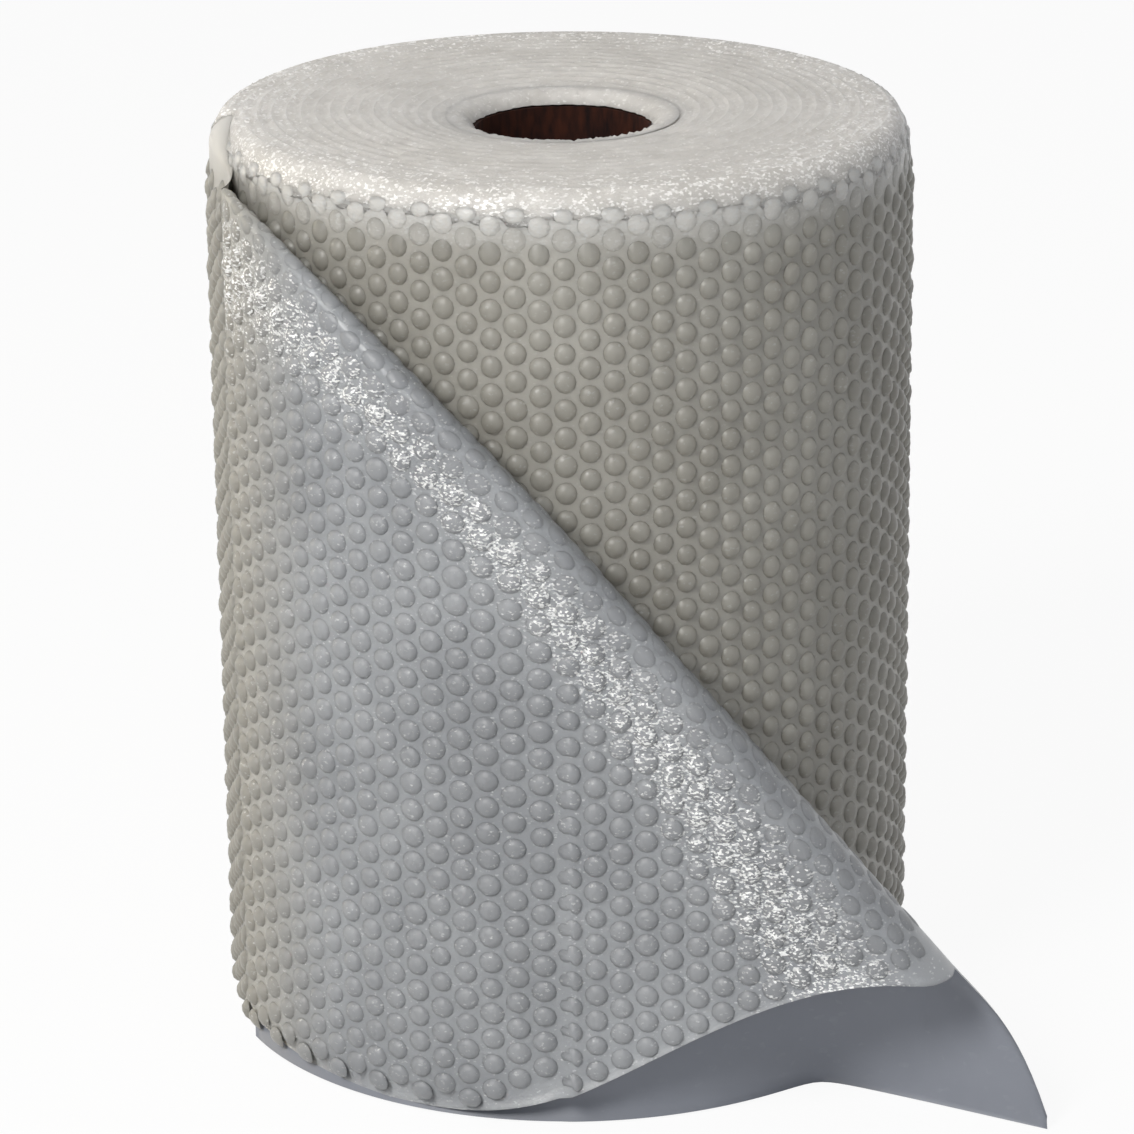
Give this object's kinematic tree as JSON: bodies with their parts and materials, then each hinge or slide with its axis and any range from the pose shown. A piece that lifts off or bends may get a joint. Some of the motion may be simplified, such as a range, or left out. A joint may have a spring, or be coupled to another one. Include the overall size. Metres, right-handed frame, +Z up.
{
  "type": "bubble wrap roll",
  "caption": "Standing roll of small-bubble cushioning film wound on a cardboard tube, with its loose end folded back behind itself along a slanting crease.",
  "frame": {"origin": "on the roll's axis, in the plane of its foot", "axes": "+Z up along the tube, +X to the right seen from the front, -Y towards the front where the loose end lies"},
  "size_m": [0.3582, 0.347, 0.41],
  "materials": {
    "core_tube": "plain kraft board",
    "bubble_wrap": "clear film, cloudy in many layers, with a glint on each bubble"
  },
  "bodies": {
    "root": {"core_tube": "core_tube", "bubble_wrap": "bubble_wrap"}
  },
  "joints": []
}
